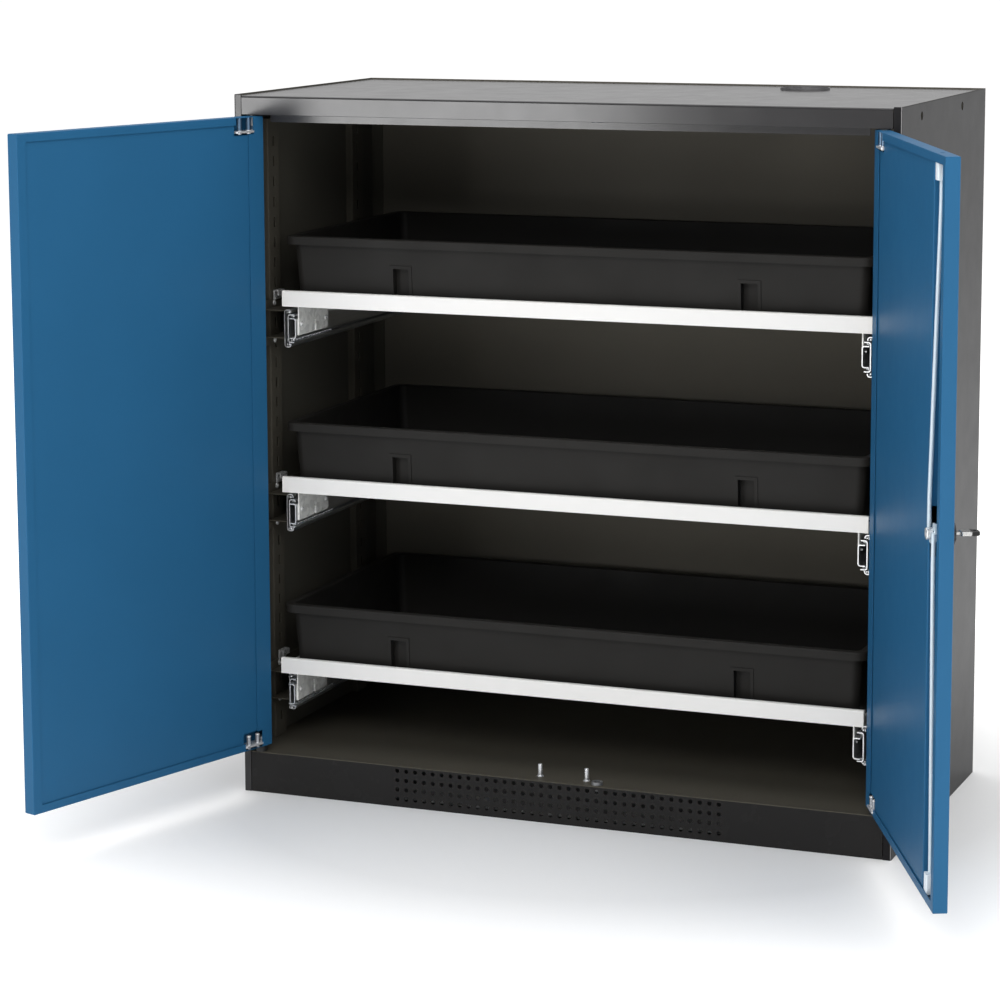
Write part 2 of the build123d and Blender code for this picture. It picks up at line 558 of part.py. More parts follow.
def rod_end(x_eye, z_eye, sign):
    """Flat slotted eye that rides on a cam pin; sign is +1 for the pin on the hinge side."""
    x_in, x_out = x_eye - sign * 5.4, x_eye + sign * 10.8
    lo, hi = min(x_in, x_out), max(x_in, x_out)
    eye = extruded([(lo, z_eye - 7), (hi, z_eye - 7), (hi, z_eye + 7), (lo, z_eye + 7)], [3.0] * 4, "y", CAM_N + 4.0, CAM_N + 6.2)
    s0, s1 = sorted((x_eye - sign * 3.6, x_eye + sign * 7.0))
    slot = extruded([(s0, z_eye - 3.8), (s1, z_eye - 3.8), (s1, z_eye + 3.8), (s0, z_eye + 3.8)], [3.0] * 4, "y", CAM_N, CAM_N + 9.6)
    return eye, slot


YR = CAM_N + 7.2                                   # rods pass the cam at this depth
ux = CX + CAM_PIN
lx = CX - CAM_PIN
uz, lz = CAM_Z - CAM_PIN, CAM_Z + CAM_PIN
u_eye, u_slot = rod_end(ux, uz, 1)
l_eye, l_slot = rod_end(lx, lz, -1)
UJ, LJ = ux + 7.0, lx - 7.0
upper = rod([(ROD_X, ROD_N, ROD_TIP_TOP), (ROD_X, ROD_N, 1008.0), (UJ, YR, 618.0), (UJ, YR, uz + 5.0)], ROD_R)
lower = rod([(ROD_X, ROD_N, ROD_TIP_BOTTOM), (ROD_X, ROD_N, 145.0), (LJ, YR, 530.0), (LJ, YR, lz - 5.0)], ROD_R)
NODES["upper_lock_rod"] = swing(cut(fuse([upper, u_eye]), [u_slot]), "right")
NODES["lower_lock_rod"] = swing(cut(fuse([lower, l_eye]), [l_slot]), "right")


def guide(z0, z1):
    blk = extruded([(ROD_X - 9, 5.5), (ROD_X + 9, 5.5), (ROD_X + 9, 18.6), (ROD_X - 9, 18.6)], [2.0] * 4, "z", z0, z1)
    zm = (z0 + z1) / 2
    neck = box(ROD_X - 6, ROD_X + 6, DT, 6.0, zm - 6, zm + 6)
    return cut(fuse([blk, neck]), [cyl(ROD_X, ROD_N, z0 - 5, ROD_R + 0.1, z1 - z0 + 10)])


NODES["rod_guides"] = swing(group([guide(1037.0, 1060.0), guide(85.0, 112.0)]), "right")

# ---------------------------------------------------------------------------
# pull-out shelves
# ---------------------------------------------------------------------------
def outer_rail(zb):
    """Fixed C-section of a left-hand slide."""
    z = zb + SLIDE_MID
    x = -SLIDE_X
    path = [(x + 12.0, z - 24.5), (x + 12.0, z - 30.0), (x, z - 30.0), (x, z + 30.0), (x + 12.0, z + 30.0), (x + 12.0, z + 24.5)]
    body = bent(path[::-1], 1.6, 3.0, "y", SLIDE_Y0, SLIDE_Y1)
    return cut(body, [cyl(x - 5, y, z, 2.5, 10, "x") for y in SLIDE_SCREW_Y])


def middle_rail(zb):
    z = zb + SLIDE_MID
    x = -SLIDE_X
    path = [(x + 16.6, z - 22.6), (x + 6.0, z - 22.6), (x + 6.0, z + 22.6), (x + 16.6, z + 22.6)]
    return bent(path[::-1], 1.6, 2.6, "y", SLIDE_Y0, SLIDE_Y1)


def inner_rail(zb):
    z = zb + SLIDE_MID
    x = -SLIDE_X
    path = [(x + 9.0, z - 16.4), (x + 20.0, z - 16.4), (x + 20.0, z + 16.4), (x + 9.0, z + 16.4)]
    return bent(path, 1.6, 2.6, "y", SLIDE_Y0, SLIDE_Y1)


def carrier(zb, y0, y1):
    """Angle that hangs the shelf pan on the inner rail, with a notch in its lower edge."""
    x = -SLIDE_X + 20.0
    path = [(x, zb - 47.0), (x, zb), (x + 26.0, zb)]
    body = bent(path[::-1], 2.0, 0.8, "y", y0, y1)
    ym = y0 + 58.0
    return cut(body, [box(x - 3, x + 5, ym - 5, ym + 5, zb - 50, zb - 35),
                      cyl(x - 5, ym, zb - 30.0, 4.0, 12, "x")]
               + [cyl(x - 5, y, zb + SLIDE_MID + 6, 2.2, 12, "x") for y in (y0 + 9, y1 - 9)])


def shelf_pan(zb):
    t = T
    base = box(-PAN_X, PAN_X, BAR_Y, PAN_Y1, zb, zb + t)
    bar = bent([(BAR_Y, zb), (BAR_Y, zb + BAR_H), (BAR_Y + 9.0, zb + BAR_H), (BAR_Y + 9.0, zb + BAR_H - 6.0)][::-1],
               t, 0.8, "x", -BAR_X, BAR_X)
    sides = [box(s * PAN_X, s * (PAN_X - t), BAR_Y + 12.0, PAN_Y1, zb, zb + 14.0) for s in (-1, 1)]
    back = box(-PAN_X, PAN_X, PAN_Y1 - t, PAN_Y1, zb, zb + 14.0)
    return fuse([base, bar] + sides + [back])


def tray(zb):
    z0 = zb + T + 0.2
    z1 = z0 + TRAY_H
    xw, y0w, y1w = TRAY_X - RIM_W, TRAY_Y0 + RIM_W, TRAY_Y1 - RIM_W
    xb, y0b, y1b = xw - TAPER, y0w + TAPER, y1w - TAPER
    t = TRAY_T

    def wall(dx, za, zc):
        def at(z):
            k = (z - z0) / TRAY_H
            g = TAPER * k
            return ring_face(xb + g - dx, y0b - g + dx, y1b + g - dx, z, 14.0 - min(dx, 4.0)).outer_wire()
        return Solid.make_loft([at(za), at(zc)])
    body = wall(0.0, z0, z1)
    hollow = wall(t, z0 + t, z1 + 2.0)
    rim = slab(TRAY_X, TRAY_Y0, TRAY_Y1, 18.0, z1 - RIM_H, z1)
    rim = rim.fillet(2.2, [e for e in rim.edges() if abs(e.center().Z - z1) < 0.01])
    rim = rim.cut(slab(TRAY_X - t, TRAY_Y0 + t, TRAY_Y1 - t, 15.0, z1 - RIM_H - 1, z1 - t))
    body = fuse([body, rim])
    body = cut(body, [hollow])
    body = body.fillet(1.6, [e for e in body.edges() if abs(e.center().Z - z1) < 0.01
                             and abs(e.center().X) < xw - t + 0.5 and y0w < e.center().Y < y1w])
    # two moulded pockets low in the front face, each with a raised border
    raised = wall(-NOTCH_RIM, z0, z0 + TRAY_H - RIM_H)
    for sx in (-NOTCH_X, NOTCH_X):
        border = raised.intersect(box(sx - NOTCH_W / 2 - 5.0, sx + NOTCH_W / 2 + 5.0, y0b - 20.0, y0b + 2.0,
                                      z0 + 3.0, z0 + NOTCH_H + 5.0))
        body = fuse([body] + solids(border) if hasattr(border, "solids") else [body] + list(border))
        boss = box(sx - NOTCH_W / 2 - t, sx + NOTCH_W / 2 + t, y0b - TAPER * NOTCH_H / TRAY_H + 1.0, y0b + NOTCH_DEEP + t,
                   z0 + 0.5, z0 + NOTCH_H + t)
        pocket = box(sx - NOTCH_W / 2, sx + NOTCH_W / 2, y0b - 20, y0b + NOTCH_DEEP, z0 + 6.0, z0 + NOTCH_H)
        body = fuse([body, boss])
        body = cut(body, [pocket])
    return body


for name, zb in SHELF_Z.items():
    out = SHELF_OUT[name]
    go = Location((0, -out, 0))
    half = Location((0, -out / 2, 0))
    o, m, n = outer_rail(zb), middle_rail(zb), inner_rail(zb)
    c = [carrier(zb, y0, y1) for y0, y1 in CARRIER_Y]
    k = []
    for y0, y1 in CARRIER_Y:
        for y in (y0 + 9, y1 - 9):
            k.append(dome_screw(-SLIDE_X + 22.0, y, zb + SLIDE_MID + 6, "+x", 3.8, 1.8, 2.1, 5.2))
    holes_n = [cyl(-SLIDE_X + 10, y, zb + SLIDE_MID + 6, 2.2, 12, "x")
               for y0, y1 in CARRIER_Y for y in (y0 + 9, y1 - 9)]
    n = cut(n, holes_n)
    NODES[f"{name}_slide_outer_rails"] = group([o, mirrored(o)])
    NODES[f"{name}_slide_middle_rails"] = group([m, mirrored(m)]).moved(half)
    NODES[f"{name}_slide_inner_rails"] = group([n, mirrored(n)]).moved(go)
    NODES[f"{name}_shelf_carriers"] = group(c + [mirrored(q) for q in c]).moved(go)
    NODES[f"{name}_carrier_screws"] = group(k + [mirrored(q) for q in k]).moved(go)
    NODES[f"{name}_shelf_pan"] = shelf_pan(zb).moved(go)
    NODES[f"{name}_spill_tray"] = tray(zb).moved(go)

# ---------------------------------------------------------------------------
for name, shape in NODES.items():
    export_step(shape.moved(Location((0, -D / 2, 0))), f"parts/{name}.step")
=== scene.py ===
import bpy
import bmesh
import json
import math
from mathutils import Matrix, Vector

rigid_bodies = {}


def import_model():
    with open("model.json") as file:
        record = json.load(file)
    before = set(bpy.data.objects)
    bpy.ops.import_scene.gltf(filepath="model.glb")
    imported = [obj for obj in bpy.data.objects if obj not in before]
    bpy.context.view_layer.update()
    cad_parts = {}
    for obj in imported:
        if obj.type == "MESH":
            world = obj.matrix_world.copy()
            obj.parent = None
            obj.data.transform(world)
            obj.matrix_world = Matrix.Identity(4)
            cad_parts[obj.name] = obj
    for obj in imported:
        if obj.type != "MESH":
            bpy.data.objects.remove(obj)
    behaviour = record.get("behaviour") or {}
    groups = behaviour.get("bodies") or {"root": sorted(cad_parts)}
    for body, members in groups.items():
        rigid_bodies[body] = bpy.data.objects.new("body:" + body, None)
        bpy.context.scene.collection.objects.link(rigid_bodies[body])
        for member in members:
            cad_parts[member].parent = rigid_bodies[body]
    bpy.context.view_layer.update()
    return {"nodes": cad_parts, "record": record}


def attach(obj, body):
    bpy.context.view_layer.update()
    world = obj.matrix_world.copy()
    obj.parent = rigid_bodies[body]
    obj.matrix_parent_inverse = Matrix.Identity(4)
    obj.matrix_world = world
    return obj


for o in list(bpy.data.objects):
    bpy.data.objects.remove(o)

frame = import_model()
nodes = frame["nodes"]
scene = bpy.context.scene


# ---------------------------------------------------------------------------
# materials
# ---------------------------------------------------------------------------
class Mat:
    """A principled material with helpers for procedural detail in object metres."""

    def __init__(self, name, color, rough, metallic=0.0, spec=0.5):
        self.mat = bpy.data.materials.new(name)
        self.mat.use_nodes = True
        self.nt = self.mat.node_tree
        self.b = self.nt.nodes["Principled BSDF"]
        self.b.inputs["Base Color"].default_value = (*color, 1.0)
        self.b.inputs["Roughness"].default_value = rough
        self.b.inputs["Metallic"].default_value = metallic
        self.b.inputs["Specular IOR Level"].default_value = spec
        self.mat.diffuse_color = (*color, 1.0)
        self.color, self.rough = color, rough
        self.coord = self.nt.nodes.new("ShaderNodeTexCoord")
        self.height = None

    def mapping(self, scale=(1, 1, 1), rotation=(0, 0, 0)):
        m = self.nt.nodes.new("ShaderNodeMapping")
        m.inputs["Scale"].default_value = scale
        m.inputs["Rotation"].default_value = rotation
        self.nt.links.new(self.coord.outputs["Object"], m.inputs["Vector"])
        return m.outputs["Vector"]

    def noise(self, scale, detail=2.0, rough=0.5, stretch=(1, 1, 1), distortion=0.0):
        n = self.nt.nodes.new("ShaderNodeTexNoise")
        n.inputs["Scale"].default_value = scale
        n.inputs["Detail"].default_value = detail
        n.inputs["Roughness"].default_value = rough
        n.inputs["Distortion"].default_value = distortion
        self.nt.links.new(self.mapping(stretch), n.inputs["Vector"])
        return n.outputs["Fac"]

    def voronoi(self, scale, feature="F1", stretch=(1, 1, 1), out="Distance", randomness=1.0):
        n = self.nt.nodes.new("ShaderNodeTexVoronoi")
        n.feature = feature
        n.inputs["Scale"].default_value = scale
        n.inputs["Randomness"].default_value = randomness
        self.nt.links.new(self.mapping(stretch), n.inputs["Vector"])
        return n.outputs[out]

    def ramp(self, fac, stops):
        r = self.nt.nodes.new("ShaderNodeValToRGB")
        while len(r.color_ramp.elements) < len(stops):
            r.color_ramp.elements.new(0.5)
        for e, (pos, col) in zip(r.color_ramp.elements, stops):
            e.position = pos
            e.color = (*col, 1.0) if len(col) == 3 else col
        self.nt.links.new(fac, r.inputs["Fac"])
        return r.outputs["Color"]

    def range(self, fac, lo, hi, a=0.3, b=0.7):
        r = self.nt.nodes.new("ShaderNodeMapRange")
        r.inputs["From Min"].default_value = a
        r.inputs["From Max"].default_value = b
        r.inputs["To Min"].default_value = lo
        r.inputs["To Max"].default_value = hi
        self.nt.links.new(fac, r.inputs["Value"])
        return r.outputs["Result"]

    def math(self, op, a, b):
        m = self.nt.nodes.new("ShaderNodeMath")
        m.operation = op
        for s, v in zip(m.inputs, (a, b)):
            if isinstance(v, (int, float)):
                s.default_value = v
            else:
                self.nt.links.new(v, s)
        return m.outputs[0]

    def mix(self, fac, a, b, blend="MIX"):
        m = self.nt.nodes.new("ShaderNodeMix")
        m.data_type = "RGBA"
        m.blend_type = blend
        for s, v in ((m.inputs["Factor"], fac), (m.inputs[6], a), (m.inputs[7], b)):
            if isinstance(v, (int, float)):
                s.default_value = v
            elif isinstance(v, tuple):
                s.default_value = (*v, 1.0)
            else:
                self.nt.links.new(v, s)
        return m.outputs[2]

    def set_color(self, out):
        self.nt.links.new(out, self.b.inputs["Base Color"])

    def set_rough(self, out):
        self.nt.links.new(out, self.b.inputs["Roughness"])

    def bump(self, fac, strength, distance):
        n = self.nt.nodes.new("ShaderNodeBump")
        n.inputs["Strength"].default_value = strength
        n.inputs["Distance"].default_value = distance
        self.nt.links.new(fac, n.inputs["Height"])
        if self.height is not None:
            self.nt.links.new(self.height, n.inputs["Normal"])
        self.height = n.outputs["Normal"]
        self.nt.links.new(self.height, self.b.inputs["Normal"])

    def shade(self, k):
        return tuple(min(1.0, c * k) for c in self.color)


def powder_coat(name, color, rough, spread=0.05, spec=0.5, peel=0.05):
    """Fine satin powder coat: orange peel, pigment grain, patches of different sheen."""
    m = Mat(name, color, rough, spec=spec)
    cloud = m.noise(6.0, 5.0, 0.6)
    grain = m.noise(900.0, 2.0, 0.6)
    tone = m.ramp(cloud, [(0.30, m.shade(1 - spread)), (0.70, m.shade(1 + spread))])
    m.set_color(m.mix(m.range(grain, 0.0, 0.30), tone, m.shade(1 + 2.0 * spread)))
    m.set_rough(m.range(m.noise(24.0, 4.0, 0.6), rough - 0.02, rough + 0.02))
    m.bump(m.noise(420.0, 2.0, 0.5), peel, 0.0002)
    return m.mat


def moulded(name, color, rough, grain=600.0, strength=0.10, spread=0.10, spec=0.4):
    """Moulded plastic with a fine eroded grain and faint flow marks."""
    m = Mat(name, color, rough, spec=spec)
    flow = m.noise(3.5, 4.0, 0.6, stretch=(1.0, 1.0, 2.5))
    speck = m.noise(grain * 1.7, 2.0, 0.5)
    tone = m.ramp(flow, [(0.3, m.shade(1 - spread)), (0.7, m.shade(1 + spread))])
    m.set_color(m.mix(m.range(speck, 0.0, 0.5), tone, m.shade(1 + 3 * spread)))
    m.set_rough(m.range(m.noise(14.0, 4.0, 0.6), rough - 0.06, rough + 0.08))
    m.bump(m.noise(grain, 3.0, 0.6), strength, 0.0005)
    return m.mat


def galvanised(name, color, rough, metallic=0.45):
    """Hot-dip sheet, dulled: spangle cells that differ in tone and sheen."""
    m = Mat(name, color, rough, metallic=metallic)
    cells = m.voronoi(130.0, out="Color")
    sep = m.nt.nodes.new("ShaderNodeSeparateColor")
    m.nt.links.new(cells, sep.inputs["Color"])
    tone = m.ramp(sep.outputs[0], [(0.0, m.shade(0.80)), (0.5, m.shade(1.0)), (1.0, m.shade(1.14))])
    m.set_color(m.mix(m.range(m.noise(35.0, 4.0, 0.6), 0.0, 0.4), tone, m.shade(0.88)))
    m.set_rough(m.range(sep.outputs[1], rough - 0.06, rough + 0.10, 0.0, 1.0))
    m.bump(m.noise(300.0, 3.0, 0.6), 0.05, 0.0002)
    return m.mat


def rolled_zinc(name, color, rough, stretch, metallic=0.6):
    """Zinc-plated drawn or rolled steel with fine lengthways marks."""
    m = Mat(name, color, rough, metallic=metallic)
    lines = m.noise(260.0, 4.0, 0.65, stretch=stretch)
    patch = m.noise(18.0, 3.0, 0.5)
    tone = m.ramp(lines, [(0.25, m.shade(0.84)), (0.75, m.shade(1.08))])
    m.set_color(m.mix(m.range(patch, 0.0, 0.35), tone, m.shade(0.88)))
    m.set_rough(m.range(lines, rough - 0.06, rough + 0.10))
    m.bump(lines, 0.04, 0.0002)
    return m.mat


def bracket_steel(name, color, dull, rough):
    """Plated hinge bracket: the flat bars are bright, and the posts behind them are painted dark and bluish as
    painted shade.
    """
    m = Mat(name, color, rough, metallic=0.6)
    lines = m.noise(260.0, 4.0, 0.65, stretch=(1.0, 1.0, 0.2))
    bright = m.ramp(lines, [(0.25, m.shade(0.85)), (0.75, m.shade(1.05))])
    # painted shade on the posts behind the bars
    posts_painted_shade = m.ramp(lines, [(0.25, tuple(c * 0.8 for c in dull)), (0.75, tuple(c * 1.2 for c in dull))])
    sep = m.nt.nodes.new("ShaderNodeSeparateXYZ")
    m.nt.links.new(m.coord.outputs["Object"], sep.inputs["Vector"])
    bars = []
    for z in (1.0490, 0.0825):
        gap = m.math("ABSOLUTE", m.math("SUBTRACT", sep.outputs["Z"], z), 0.0)
        bars.append(m.range(gap, 1.0, 0.0, 0.0020, 0.0030))
    # the lower posts get a lighter painted shade than the upper ones
    lower_posts_lighter_shade = m.ramp(lines, [(0.25, (0.30, 0.32, 0.35)), (0.75, (0.46, 0.48, 0.51))])
    posts = m.mix(m.range(sep.outputs["Z"], 1.0, 0.0, 0.3, 0.6), posts_painted_shade, lower_posts_lighter_shade)
    m.set_color(m.mix(m.math("MAXIMUM", bars[0], bars[1]), posts, bright))
    m.set_rough(m.range(lines, rough - 0.05, rough + 0.10))
    m.bump(lines, 0.04, 0.0002)
    return m.mat


def folded_coat(name, color, rough, spec, edge, inside):
    """Side sheet: the same coat with a painted highlight along the front fold; inside it is rougher and painted
    paler, as painted light.
    """
    m = Mat(name, color, rough, spec=spec)
    tone = m.ramp(m.noise(6.0, 5.0, 0.6), [(0.30, m.shade(0.97)), (0.70, m.shade(1.03))])
    tone = m.mix(m.range(m.noise(900.0, 2.0, 0.6), 0.0, 0.30), tone, m.shade(1.06))
    sep = m.nt.nodes.new("ShaderNodeSeparateXYZ")
    m.nt.links.new(m.coord.outputs["Object"], sep.inputs["Vector"])
    # mask for the painted highlight along the front fold
    out = m.range(m.math("ABSOLUTE", sep.outputs["X"], 0.0), 0.0, 1.0, 0.5258, 0.5266)
    front = m.range(sep.outputs["Y"], 1.0, 0.0, -0.2591, -0.2583)
    fold = m.math("MULTIPLY", m.math("MULTIPLY", out, front), m.range(m.noise(30.0, 3.0, 0.6), 0.75, 1.0))
    # mask for the inside face, which is painted paler as painted light
    inner = m.math("MULTIPLY", m.range(m.math("ABSOLUTE", sep.outputs["X"], 0.0), 1.0, 0.0, 0.5265, 0.5268),
                   m.range(sep.outputs["Y"], 0.0, 1.0, -0.2578, -0.2572))
    dull = m.ramp(m.noise(6.0, 5.0, 0.6), [(0.30, tuple(c * 0.95 for c in inside)), (0.70, tuple(c * 1.05 for c in inside))])
    m.set_color(m.mix(inner, m.mix(fold, tone, edge), dull))
    m.set_rough(m.math("ADD", m.range(m.noise(24.0, 4.0, 0.6), rough - 0.02, rough + 0.02), m.math("MULTIPLY", inner, 0.2)))
    # the narrow front flange is the glossy part of the sheet
    m.nt.links.new(m.range(sep.outputs["Y"], spec, 0.045, -0.2578, -0.2572), m.b.inputs["Specular IOR Level"])
    m.bump(m.noise(420.0, 2.0, 0.5), 0.01, 0.0002)
    return m.mat


def backed_coat(name, color, inside, rough, spec):
    """Back sheet: dark coat on the outside, painted paler towards the inside of the cabinet as painted light."""
    m = Mat(name, color, rough, spec=spec)
    cloud = m.noise(6.0, 5.0, 0.6)
    outer = m.ramp(cloud, [(0.30, m.shade(0.96)), (0.70, m.shade(1.04))])
    inner = m.ramp(cloud, [(0.30, tuple(c * 0.95 for c in inside)), (0.70, tuple(c * 1.05 for c in inside))])
    sep = m.nt.nodes.new("ShaderNodeSeparateXYZ")
    m.nt.links.new(m.coord.outputs["Object"], sep.inputs["Vector"])
    face = m.range(sep.outputs["Y"], 1.0, 0.0, 0.2590, 0.2594)
    grain = m.range(m.noise(900.0, 2.0, 0.6), 0.0, 0.25)
    # the inside face gets the paler tone: painted light
    m.set_color(m.mix(face, m.mix(grain, outer, m.shade(1.10)), m.mix(grain, inner, tuple(c * 1.10 for c in inside))))
    m.set_rough(m.range(m.noise(24.0, 4.0, 0.6), rough - 0.02, rough + 0.02))
    m.bump(m.noise(420.0, 2.0, 0.5), 0.03, 0.0002)
    return m.mat


def key_metal(name, color, rough):
    """Nickel-plated key whose grip ends in a dark dipped tip."""
    m = Mat(name, color, rough, metallic=0.85)
    lines = m.noise(300.0, 4.0, 0.65, stretch=(0.15, 1.0, 1.0))
    tone = m.ramp(lines, [(0.25, m.shade(0.85)), (0.75, m.shade(1.05))])
    along = m.nt.nodes.new("ShaderNodeVectorMath")
    along.operation = "DOT_PRODUCT"
    along.inputs[1].default_value = (0.9063, 0.4226, 0.0)
    m.nt.links.new(m.coord.outputs["Object"], along.inputs[0])
    dip = m.math("ADD", along.outputs["Value"], m.range(m.noise(400.0, 2.0, 0.5), -0.0006, 0.0006))
    m.set_color(m.mix(m.range(dip, 0.0, 1.0, 0.3875, 0.3890), tone, m.shade(0.04)))
    m.set_rough(m.range(lines, rough - 0.05, rough + 0.10))
    m.bump(lines, 0.04, 0.0002)
    return m.mat


M = {
    "carcass_paint": powder_coat("carcass_paint", (0.0190, 0.0183, 0.0180), 0.27, spec=0.08, peel=0.02),
    "carcass_top": powder_coat("carcass_top", (0.0180, 0.0172, 0.0182), 0.15, spec=0.40, peel=0.006),
    # side sheets: edge colour is a painted highlight at the front fold, inside colour a painted paler tone standing
    # in for light
    "carcass_side": folded_coat("carcass_side", (0.0160, 0.0155, 0.0164), 0.30, 0.04, (0.30, 0.29, 0.29),
                                (0.0720, 0.0680, 0.0560)),
    "carcass_left": folded_coat("carcass_left", (0.0180, 0.0172, 0.0180), 0.20, 0.40, (0.10, 0.10, 0.10),
                                (0.0720, 0.0680, 0.0560)),
    "collar_zinc": galvanised("collar_zinc", (0.150, 0.148, 0.152), 0.45, 0.25),
    # the hinge bracket posts carry a painted dark bluish shade
    "bracket_steel": bracket_steel("bracket_steel", (0.80, 0.81, 0.83), (0.11, 0.18, 0.27), 0.30),
    # inside copy of the carcass coat, painted paler as painted light
    "carcass_inside": powder_coat("carcass_inside", (0.0680, 0.0625, 0.0500), 0.46, spec=0.05, peel=0.03),
    "carcass_back": backed_coat("carcass_back", (0.0180, 0.0174, 0.0172), (0.1340, 0.1240, 0.1020), 0.42, 0.05),
    "door_paint": powder_coat("door_paint", (0.0172, 0.0985, 0.209), 0.42, spread=0.03, spec=0.13),
    "shelf_paint": powder_coat("shelf_paint", (0.725, 0.715, 0.695), 0.36, spread=0.015),
    "tray_plastic": moulded("tray_plastic", (0.0145, 0.0137, 0.0125), 0.50, spec=0.13),
    "galvanised": galvanised("galvanised", (0.80, 0.80, 0.77), 0.44, 0.15),
    "slide_zinc": rolled_zinc("slide_zinc", (0.72, 0.73, 0.74), 0.34, (1.0, 0.03, 1.0), 1.0),
    "zinc_screw": rolled_zinc("zinc_screw", (0.80, 0.80, 0.80), 0.28, (1.0, 1.0, 1.0), 0.6),
    "bright_steel": rolled_zinc("bright_steel", (0.86, 0.87, 0.88), 0.26, (1.0, 1.0, 0.08), 0.75),
    "rod_steel": rolled_zinc("rod_steel", (0.56, 0.66, 0.74), 0.36, (1.0, 1.0, 0.03), 0.25),
    "keeper_steel": rolled_zinc("keeper_steel", (0.24, 0.245, 0.25), 0.38, (1.0, 1.0, 0.2), 0.6),
    "bush_plastic": moulded("bush_plastic", (0.018, 0.018, 0.018), 0.45),
    "guide_plastic": moulded("guide_plastic", (0.72, 0.79, 0.85), 0.42, spread=0.02),
    "knob_plastic": moulded("knob_plastic", (0.012, 0.012, 0.013), 0.40),
    "key_metal": key_metal("key_metal", (0.52, 0.52, 0.51), 0.26),
}

slot_of = {s["node"]: s["material_slot"] for s in frame["record"]["subparts"]}
for name, obj in nodes.items():
    obj.data.materials.clear()
    # the same coat is made glossier on the top, is painted paler inside the cabinet as painted light, and carries a
    # painted highlight at the side folds
    key = slot_of[name]
    if name in ("top_panel", "top_front_rail"):
        key = "carcass_top"
    elif name == "left_side_panel":
        key = "carcass_left"
    elif name == "exhaust_collar":
        key = "collar_zinc"
    elif name == "right_side_panel":
        key = "carcass_side"
    elif name.endswith("hinge_brackets"):
        key = "bracket_steel"
    elif name == "back_panel":
        key = "carcass_back"
    elif name in ("floor_panel", "left_slide_uprights", "right_slide_uprights", "slide_supports"):
        key = "carcass_inside"
    obj.data.materials.append(M[key])

# ---------------------------------------------------------------------------
# balls and cages between the sections of the telescopic slides
# ---------------------------------------------------------------------------
SHELVES = {"upper": (0.772, 0.0), "middle": (0.478, 0.008), "lower": (0.189, 0.021)}
SLIDE_FACE, SLIDE_MID, SLIDE_LEN = 0.4765, -0.036, 0.450


def solid_box(bm, lo, hi):
    v = [bm.verts.new((x, y, z)) for x in (lo[0], hi[0]) for y in (lo[1], hi[1]) for z in (lo[2], hi[2])]
    for f in ((0, 1, 3, 2), (4, 6, 7, 5), (0, 4, 5, 1), (2, 3, 7, 6), (0, 2, 6, 4), (1, 5, 7, 3)):
        bm.faces.new([v[i] for i in f])


def ball(bm, c, r):
    ring = bmesh.ops.create_icosphere(bm, subdivisions=2, radius=r, matrix=Matrix.Translation(c))
    for v in ring["verts"]:
        for f in v.link_faces:
            f.smooth = True


def ball_cages(level):
    zb, out = SHELVES[level]
    z = zb + SLIDE_MID
    y0 = 0.062 - 0.260 - out / 2
    bm = bmesh.new()
    for side in (-1, 1):
        for race, (dx, dz, r) in enumerate(((0.0074, 0.0254, 0.0024), (0.0130, 0.0187, 0.0019))):
            x = side * (SLIDE_FACE - dx)
            for up in (-1, 1):
                zc = z + up * dz
                start = y0 + 0.0045 + race * 0.003
                # thin strip that holds the balls apart, on the side of the race away from the shelf
                xs = x + side * (r + 0.0004)
                solid_box(bm, (min(xs, xs + side * 0.0006), start - 0.003, zc - r * 0.8),
                          (max(xs, xs + side * 0.0006), start + 0.150, zc + r * 0.8))
                for i in range(14):
                    ball(bm, Vector((x, start + 0.0105 * i, zc)), r)
    bmesh.ops.recalc_face_normals(bm, faces=bm.faces)
    mesh = bpy.data.meshes.new(level + "_ball_cages")
    bm.to_mesh(mesh)
    bm.free()
    o = bpy.data.objects.new(level + "_ball_cages", mesh)
    scene.collection.objects.link(o)
    o.data.materials.append(M["bright_steel"])
    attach(o, level + "_middle_rails")
    return o


for level in SHELVES:
    ball_cages(level)



def wall_hooks():
    """Bent hooks that stand in the slots of the uprights beside each slide support."""
    face, y_mid = 0.5125, (0.110 - 0.260, 0.422 - 0.260)
    bm = bmesh.new()
    for side in (-1, 1):
        for zb, _ in SHELVES.values():
            outline = [(0.0, 0.0040), (0.0018, 0.0032), (0.0034, 0.0060), (0.0020, 0.0090), (0.0020, 0.0165),
                       (0.0070, 0.0169), (0.0070, 0.0105), (0.0090, 0.0100), (0.0092, 0.0175), (0.0078, 0.0191),
                       (0.0, 0.0191)]
            for y in y_mid:
                loops = []
                for dy in (-0.0115, 0.0115):
                    loops.append([bm.verts.new((side * (face - dx), y + dy, zb + dz)) for dx, dz in outline])
                n = len(outline)
                bm.faces.new(loops[0])
                bm.faces.new(loops[1][::-1])
                for i in range(n):
                    j = (i + 1) % n
                    bm.faces.new((loops[0][j], loops[0][i], loops[1][i], loops[1][j]))
    bmesh.ops.recalc_face_normals(bm, faces=bm.faces)
    bmesh.ops.bevel(bm, geom=list(bm.edges), offset=0.00025, segments=2, affect="EDGES", profile=0.5)
    mesh = bpy.data.meshes.new("wall_hooks")
    bm.to_mesh(mesh)
    bm.free()
    o = bpy.data.objects.new("wall_hooks", mesh)
    scene.collection.objects.link(o)
    o.data.materials.append(M["zinc_screw"])
    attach(o, "carcass")


wall_hooks()

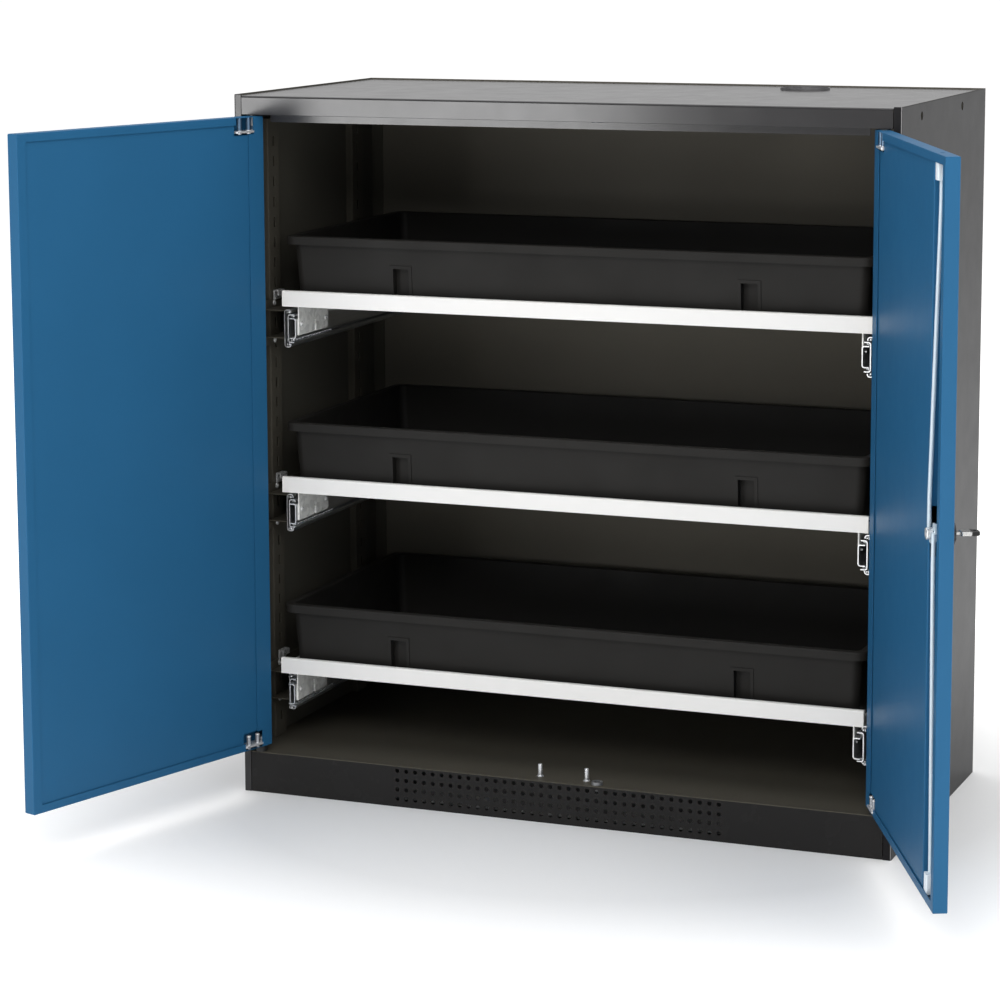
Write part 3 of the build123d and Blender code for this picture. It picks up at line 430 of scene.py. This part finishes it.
# ---------------------------------------------------------------------------
# stage: pale floor, soft light, camera
# ---------------------------------------------------------------------------
fm = Mat("floor_pale", (0.88, 0.88, 0.88), 0.55, spec=0.2)
fm.set_color(fm.ramp(fm.noise(0.6, 3.0, 0.5), [(0.3, (0.87, 0.87, 0.87)), (0.7, (0.90, 0.90, 0.90))]))
mesh = bpy.data.meshes.new("floor")
bm = bmesh.new()
bmesh.ops.create_grid(bm, x_segments=4, y_segments=4, size=60.0)
bm.to_mesh(mesh)
bm.free()
floor = bpy.data.objects.new("floor", mesh)
scene.collection.objects.link(floor)
fm.b.inputs["Emission Color"].default_value = (1.0, 1.0, 1.0, 1.0)
away = fm.nt.nodes.new("ShaderNodeVectorMath")
away.operation = "LENGTH"
fm.nt.links.new(fm.coord.outputs["Object"], away.inputs[0])
fm.nt.links.new(fm.range(away.outputs["Value"], 0.0, 0.62, 0.62, 1.35), fm.b.inputs["Emission Strength"])
floor.data.materials.append(fm.mat)

# studio surround: bright behind and to the right, dim in front
world = bpy.data.worlds.new("studio")
scene.world = world
world.use_nodes = True
wn = world.node_tree
bg = wn.nodes["Background"]
wc = wn.nodes.new("ShaderNodeTexCoord")
wdot = wn.nodes.new("ShaderNodeVectorMath")
wdot.operation = "DOT_PRODUCT"
wdot.inputs[1].default_value = (0.20, 0.95, 0.25)
wn.links.new(wc.outputs["Generated"], wdot.inputs[0])
wr = wn.nodes.new("ShaderNodeMapRange")
wr.inputs["From Min"].default_value = -1.0
wr.inputs["From Max"].default_value = 1.0
wn.links.new(wdot.outputs["Value"], wr.inputs["Value"])
wramp = wn.nodes.new("ShaderNodeValToRGB")
stops = [(0.0, 0.27), (0.30, 0.29), (0.52, 0.45), (0.75, 0.55), (1.0, 0.56)]
while len(wramp.color_ramp.elements) < len(stops):
    wramp.color_ramp.elements.new(0.5)
for e, (pos, v) in zip(wramp.color_ramp.elements, stops):
    e.position = pos
    e.color = (v, v, v, 1.0)
wn.links.new(wr.outputs["Result"], wramp.inputs["Fac"])
wn.links.new(wramp.outputs["Color"], bg.inputs["Color"])
bg.inputs["Strength"].default_value = 1.0


def area(name, loc, target, size, power, color=(1, 1, 1)):
    l = bpy.data.lights.new(name, "AREA")
    l.shape = "RECTANGLE"
    l.size, l.size_y = size
    l.energy = power
    l.color = color
    o = bpy.data.objects.new(name, l)
    scene.collection.objects.link(o)
    o.location = loc
    o.rotation_mode = "QUATERNION"
    o.rotation_quaternion = (Vector(target) - Vector(loc)).to_track_quat("-Z", "Y")
    o.visible_camera = False
    return o


area("overhead", (0.0, 0.5, 5.0), (0.0, 0.5, 0.0), (8.0, 8.0), 320.0)
area("key_right", (4.2, -1.9, 1.9), (-0.3, -0.3, 0.6), (2.4, 2.4), 34.0)
area("front", (0.8, -4.7, 3.3), (0.0, -0.3, 0.6), (3.0, 1.6), 90.0)
area("front_left", (-2.84, -6.0, 0.75), (-0.2, -0.26, 1.09), (1.8, 0.9), 55.0)

# ---------------------------------------------------------------------------
cd = bpy.data.cameras.new("camera")
cam = bpy.data.objects.new("camera", cd)
scene.collection.objects.link(cam)
F_PX = 3143.7
cd.sensor_fit = "HORIZONTAL"
cd.sensor_width = 36.0
cd.lens = F_PX / 1000.0 * 36.0
cd.shift_x, cd.shift_y = 0.0, -0.12
cd.clip_start, cd.clip_end = 0.05, 200.0
right = Vector((0.92913, 0.36974, -0.00359)).normalized()
fwd = Vector((-0.36624, 0.91890, -0.14662))
fwd = (fwd - right * fwd.dot(right)).normalized()
up = right.cross(fwd)
m = Matrix((right, up, -fwd)).transposed().to_4x4()
m.translation = Vector((1.6493, -4.6181, 1.3780))
cam.matrix_world = m
scene.camera = cam

scene.view_settings.view_transform = "Standard"
scene.view_settings.look = "None"
scene.view_settings.exposure = 0.0
